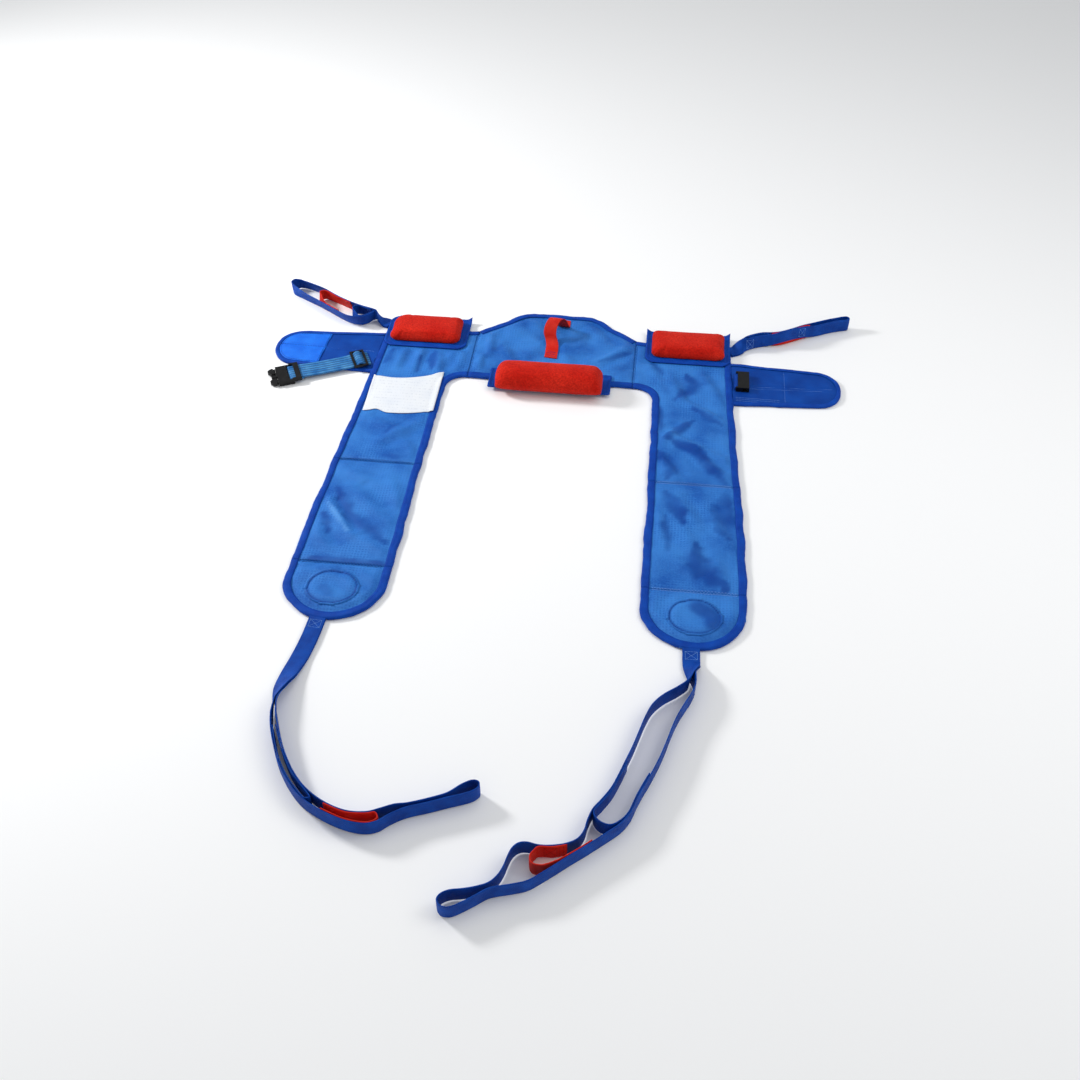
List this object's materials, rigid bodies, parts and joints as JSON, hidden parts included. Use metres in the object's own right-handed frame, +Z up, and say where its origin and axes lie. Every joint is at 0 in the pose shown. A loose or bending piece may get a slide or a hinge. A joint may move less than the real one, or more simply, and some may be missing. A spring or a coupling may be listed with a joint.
{
  "type": "padded transfer sling",
  "caption": "Padded patient transfer sling laid flat: back with lumbar roll and underarm pads, waist belt with side-release buckle, long legs, looped lifting straps.",
  "frame": {"origin": "centre of the back panel on its underside, on the surface that the sling lies on", "axes": "+X to the right, +Y up the back towards the shoulders, +Z up off the surface and out of the side that faces the viewer"},
  "size_m": [1.3765, 1.665, 0.0585],
  "materials": {
    "mesh_cover": "fine blue mesh weave",
    "lining": "smooth blue lining cloth",
    "binding_tape": "royal blue ribbed tape",
    "strap_webbing": "royal blue ribbed webbing",
    "red_webbing": "red ribbed webbing",
    "waist_webbing": "teal-blue ribbed webbing",
    "red_fleece": "brushed red fleece",
    "belt_cloth": "dark blue brushed loop cloth",
    "hook_tape": "bright blue hook tape",
    "care_label": "white woven label, left blank",
    "foam": "soft padding",
    "black_plastic": "moulded, satin"
  },
  "bodies": {
    "sling_back": {"back_lining": "lining", "back_padding": "foam", "back_cover": "mesh_cover", "back_binding": "binding_tape", "lumbar_backing": "binding_tape", "lumbar_foam": "foam", "lumbar_cover": "red_fleece", "carry_handle": "red_webbing", "care_label": "care_label", "left_side_lining": "lining", "left_side_cover": "mesh_cover", "left_side_binding": "binding_tape", "right_side_lining": "lining", "right_side_cover": "mesh_cover", "right_side_binding": "binding_tape", "left_arm_backing": "binding_tape", "left_arm_foam": "foam", "left_arm_cover": "red_fleece", "right_arm_backing": "binding_tape", "right_arm_foam": "foam", "right_arm_cover": "red_fleece"},
    "left_leg": {"left_leg_lining": "lining", "left_leg_cover": "mesh_cover", "left_leg_binding": "binding_tape"},
    "right_leg": {"right_leg_lining": "lining", "right_leg_cover": "mesh_cover", "right_leg_binding": "binding_tape"},
    "left_leg_tip": {"left_tip_lining": "lining", "left_tip_cover": "mesh_cover", "left_tip_binding": "binding_tape", "left_tip_patch": "mesh_cover"},
    "right_leg_tip": {"right_tip_lining": "lining", "right_tip_cover": "mesh_cover", "right_tip_binding": "binding_tape", "right_tip_patch": "mesh_cover"},
    "left_leg_strap": {"left_leg_strap": "strap_webbing", "left_leg_short_loop": "strap_webbing", "left_leg_red_loop": "red_webbing"},
    "right_leg_strap": {"right_leg_strap": "strap_webbing", "right_leg_short_loop": "strap_webbing", "right_leg_red_loop": "red_webbing"},
    "left_shoulder_strap": {"left_shoulder_strap": "strap_webbing", "left_shoulder_short_loop": "strap_webbing", "left_shoulder_red_loop": "red_webbing"},
    "right_shoulder_strap": {"right_shoulder_strap": "strap_webbing", "right_shoulder_short_loop": "strap_webbing", "right_shoulder_red_loop": "red_webbing"},
    "left_belt": {"left_belt_flap": "belt_cloth", "left_belt_binding": "binding_tape", "left_hook_patch": "hook_tape"},
    "right_belt": {"right_belt_flap": "belt_cloth", "right_belt_binding": "binding_tape", "socket_tab": "waist_webbing"},
    "waist_strap": {"waist_strap": "waist_webbing", "strap_slider": "black_plastic"},
    "buckle_plug": {"strap_end": "waist_webbing", "buckle_plug": "black_plastic"},
    "upper_prong": {"upper_prong": "black_plastic"},
    "lower_prong": {"lower_prong": "black_plastic"},
    "buckle_socket": {"buckle_socket": "black_plastic"}
  },
  "joints": [
    {"name": "left_leg_fold", "type": "hinge", "parent": "sling_back", "child": "left_leg", "pos_m": [0, -0.43, 0.0075], "axis": [-1, 0, 0], "range_deg": [0, 90]},
    {"name": "right_leg_fold", "type": "hinge", "parent": "sling_back", "child": "right_leg", "pos_m": [0, -0.43, 0.0075], "axis": [-1, 0, 0], "range_deg": [0, 90]},
    {"name": "left_leg_tip_fold", "type": "hinge", "parent": "left_leg", "child": "left_leg_tip", "pos_m": [0, -0.737, 0.0075], "axis": [-1, 0, 0], "range_deg": [0, 60]},
    {"name": "right_leg_tip_fold", "type": "hinge", "parent": "right_leg", "child": "right_leg_tip", "pos_m": [0, -0.737, 0.0075], "axis": [-1, 0, 0], "range_deg": [0, 60]},
    {"name": "left_leg_strap_lift", "type": "hinge", "parent": "left_leg_tip", "child": "left_leg_strap", "pos_m": [-0.355, -0.882, 0.008], "axis": [-1, 0, 0], "range_deg": [0, 45]},
    {"name": "right_leg_strap_lift", "type": "hinge", "parent": "right_leg_tip", "child": "right_leg_strap", "pos_m": [0.341, -0.882, 0.008], "axis": [-1, 0, 0], "range_deg": [0, 45]},
    {"name": "left_shoulder_strap_lift", "type": "hinge", "parent": "sling_back", "child": "left_shoulder_strap", "pos_m": [-0.418, 0.081, 0.008], "axis": [0.41, 0.9121, 0], "range_deg": [0, 50]},
    {"name": "right_shoulder_strap_lift", "type": "hinge", "parent": "sling_back", "child": "right_shoulder_strap", "pos_m": [0.418, 0.056, 0.008], "axis": [0.41, -0.9121, 0], "range_deg": [0, 50]},
    {"name": "left_belt_fold", "type": "hinge", "parent": "sling_back", "child": "left_belt", "pos_m": [-0.418, 0, 0.008], "axis": [0, 1, 0], "range_deg": [0, 85]},
    {"name": "right_belt_fold", "type": "hinge", "parent": "sling_back", "child": "right_belt", "pos_m": [0.418, 0, 0.008], "axis": [0, -1, 0], "range_deg": [0, 85]},
    {"name": "waist_strap_lift", "type": "hinge", "parent": "left_belt", "child": "waist_strap", "pos_m": [-0.43, -0.073, 0.0092], "axis": [-0.4226, 0.9063, 0], "range_deg": [0, 45]},
    {"name": "buckle_plug_tilt", "type": "hinge", "parent": "waist_strap", "child": "buckle_plug", "pos_m": [-0.56903, -0.13783, 0.0105], "axis": [-0.4226, 0.9063, 0], "range_deg": [0, 30]},
    {"name": "upper_prong_press", "type": "hinge", "parent": "buckle_plug", "child": "upper_prong", "pos_m": [-0.63603, -0.1437, 0.0068], "axis": [0, 0, 1], "range_deg": [0, 6], "stiffness_Nm_per_rad": 0.05},
    {"name": "lower_prong_press", "type": "hinge", "parent": "buckle_plug", "child": "lower_prong", "pos_m": [-0.61659, -0.18539, 0.0068], "axis": [0, 0, 1], "range_deg": [-6, 0], "stiffness_Nm_per_rad": 0.05},
    {"name": "buckle_socket_tilt", "type": "hinge", "parent": "right_belt", "child": "buckle_socket", "pos_m": [0.4265, -0.072, 0.0119], "axis": [0, -1, 0], "range_deg": [0, 30]}
  ],
  "couplings": [
    {"joint": "lower_prong_press", "follows": "upper_prong_press", "ratio": -1}
  ]
}
